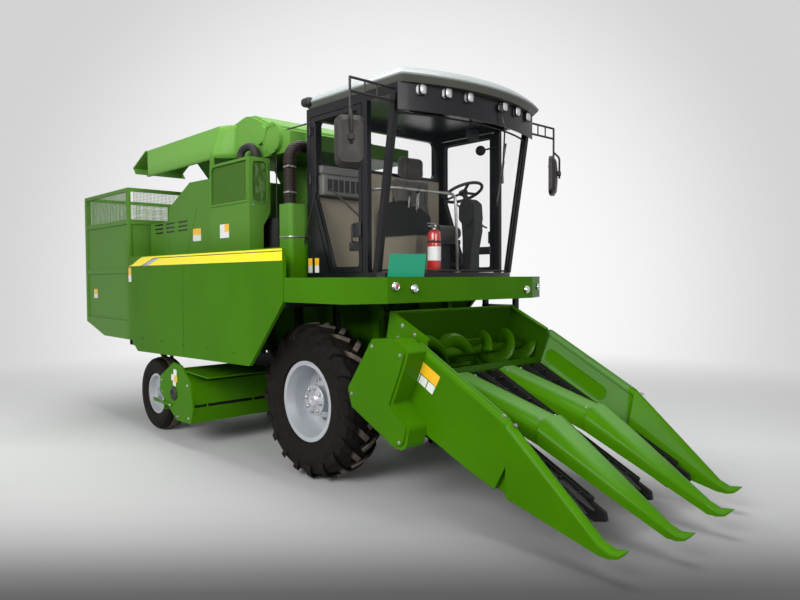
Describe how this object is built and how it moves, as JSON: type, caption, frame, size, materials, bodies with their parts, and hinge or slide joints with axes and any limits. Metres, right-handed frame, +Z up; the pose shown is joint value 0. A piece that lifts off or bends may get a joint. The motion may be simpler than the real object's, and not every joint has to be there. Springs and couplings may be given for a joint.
{
  "type": "self-propelled corn harvester",
  "caption": "Corn picker with a row header of long snouts, wide cab, cross auger, husker housing, overhead discharge chute and tipping rear bin on large lugged wheels.",
  "frame": {"origin": "on the ground in the middle of the machine's length and width", "axes": "+X forward, +Y to the machine's left, +Z up"},
  "size_m": [7.32, 2.5418, 3.116],
  "materials": {
    "green": "gloss",
    "silver": "satin",
    "black": "satin",
    "dark": "matte",
    "tyre": "matte",
    "steel": "satin",
    "iron": "rough",
    "glass": "clear",
    "lamp": "gloss",
    "seat": "woven",
    "brown": "matte"
  },
  "bodies": {
    "machine": {"chassis": "black", "bin_cylinder_feet": "black", "front_axle": "black", "rear_axle": "black", "side_panels": "green", "husker_housing": "green", "engine_deck": "black", "engine": "iron", "radiator_box": "green", "elevator": "green", "elevator_head": "green", "discharge_chute": "green", "platform": "green", "ladder": "black", "cab_frame": "black", "cab_roof": "silver", "cab_glass": "glass", "seat_base": "dark", "seat_cushions": "seat", "steering_column": "dark", "cab_console": "dark", "mirrors": "dark", "front_lamps": "lamp", "chopper_housing": "green", "air_intake": "brown", "fuel_tank": "green"},
    "wheel_front_right": {"front_tyre_right": "tyre", "front_rim_right": "silver"},
    "wheel_front_left": {"front_tyre_left": "tyre", "front_rim_left": "silver"},
    "steer_right": {"knuckle_right": "black"},
    "steer_left": {"knuckle_left": "black"},
    "wheel_rear_right": {"rear_tyre_right": "tyre", "rear_rim_right": "silver"},
    "wheel_rear_left": {"rear_tyre_left": "tyre", "rear_rim_left": "silver"},
    "door_r": {"door_right": "black", "door_right_glass": "glass"},
    "door_l": {"door_left": "black", "door_left_glass": "glass"},
    "header": {"feeder_house": "green", "header_trough": "green", "row_units": "black", "row_covers": "green", "dividers": "green", "inner_snouts": "green", "header_drive_cover": "green"},
    "auger": {"header_auger": "green"},
    "lift_cylinders": {"lift_barrels": "black"},
    "lift_pistons": {"lift_rods": "steel"},
    "harvest_bin": {"bin": "green"},
    "tip_cylinders": {"bin_barrels": "black"},
    "tip_pistons": {"bin_rods": "steel"},
    "chopper": {"chopper_rotor": "steel"}
  },
  "joints": [
    {"name": "front_wheel_right", "type": "hinge", "parent": "machine", "child": "wheel_front_right", "pos_m": [0.79, -0.743, 0.6325], "axis": [0, 1, 0], "continuous": true},
    {"name": "front_wheel_left", "type": "hinge", "parent": "machine", "child": "wheel_front_left", "pos_m": [0.79, 0.743, 0.6325], "axis": [0, 1, 0], "continuous": true},
    {"name": "steering_right", "type": "hinge", "parent": "machine", "child": "steer_right", "pos_m": [-1.83, -0.78, 0.39], "axis": [0, 0, 1], "range_deg": [-22, 22]},
    {"name": "steering_left", "type": "hinge", "parent": "machine", "child": "steer_left", "pos_m": [-1.83, 0.78, 0.39], "axis": [0, 0, 1], "range_deg": [-22, 22]},
    {"name": "rear_wheel_right", "type": "hinge", "parent": "steer_right", "child": "wheel_rear_right", "pos_m": [-1.83, -0.915, 0.39], "axis": [0, 1, 0], "continuous": true},
    {"name": "rear_wheel_left", "type": "hinge", "parent": "steer_left", "child": "wheel_rear_left", "pos_m": [-1.83, 0.915, 0.39], "axis": [0, 1, 0], "continuous": true},
    {"name": "door_right", "type": "hinge", "parent": "machine", "child": "door_r", "pos_m": [0.743, -0.798, 2.3], "axis": [0, 0, -1], "range_deg": [0, 65]},
    {"name": "door_left", "type": "hinge", "parent": "machine", "child": "door_l", "pos_m": [0.743, 0.798, 2.3], "axis": [0, 0, 1], "range_deg": [0, 65]},
    {"name": "header_lift", "type": "hinge", "parent": "machine", "child": "header", "pos_m": [0.83, 0, 1.16], "axis": [0, -1, 0], "range_deg": [-3.5, 6.5]},
    {"name": "header_auger", "type": "hinge", "parent": "header", "child": "auger", "pos_m": [1.74, 0, 1.05], "axis": [0, 1, 0], "continuous": true},
    {"name": "lift_cylinder_swing", "type": "hinge", "parent": "machine", "child": "lift_cylinders", "pos_m": [0.94, 0, 0.52], "axis": [0, -1, 0], "range_deg": [-3.6, 6.6]},
    {"name": "lift_piston", "type": "slide", "parent": "lift_cylinders", "child": "lift_pistons", "axis": [0.9902, 0, 0.1398], "range_m": [-0.04, 0.074]},
    {"name": "bin_tip", "type": "hinge", "parent": "machine", "child": "harvest_bin", "pos_m": [-3.54, 0, 1], "axis": [0, -1, 0], "range_deg": [0, 45]},
    {"name": "tip_cylinder_swing", "type": "hinge", "parent": "machine", "child": "tip_cylinders", "pos_m": [-2.71, 0, 0.6], "axis": [0, -1, 0], "range_deg": [-19, 0]},
    {"name": "tip_piston", "type": "slide", "parent": "tip_cylinders", "child": "tip_pistons", "axis": [-0.8321, 0, 0.5547], "range_m": [0, 0.212]},
    {"name": "chopper_rotor", "type": "hinge", "parent": "machine", "child": "chopper", "pos_m": [-1.06, 0, 0.5], "axis": [0, 1, 0], "continuous": true}
  ],
  "couplings": [
    {"joint": "steering_left", "follows": "steering_right", "ratio": 1},
    {"joint": "lift_cylinder_swing", "follows": "header_lift", "ratio": 1},
    {"joint": "lift_piston", "follows": "header_lift", "m_per_rad": 0.649},
    {"joint": "tip_cylinder_swing", "follows": "bin_tip", "ratio": -0.414},
    {"joint": "tip_piston", "follows": "bin_tip", "m_per_rad": 0.267}
  ]
}
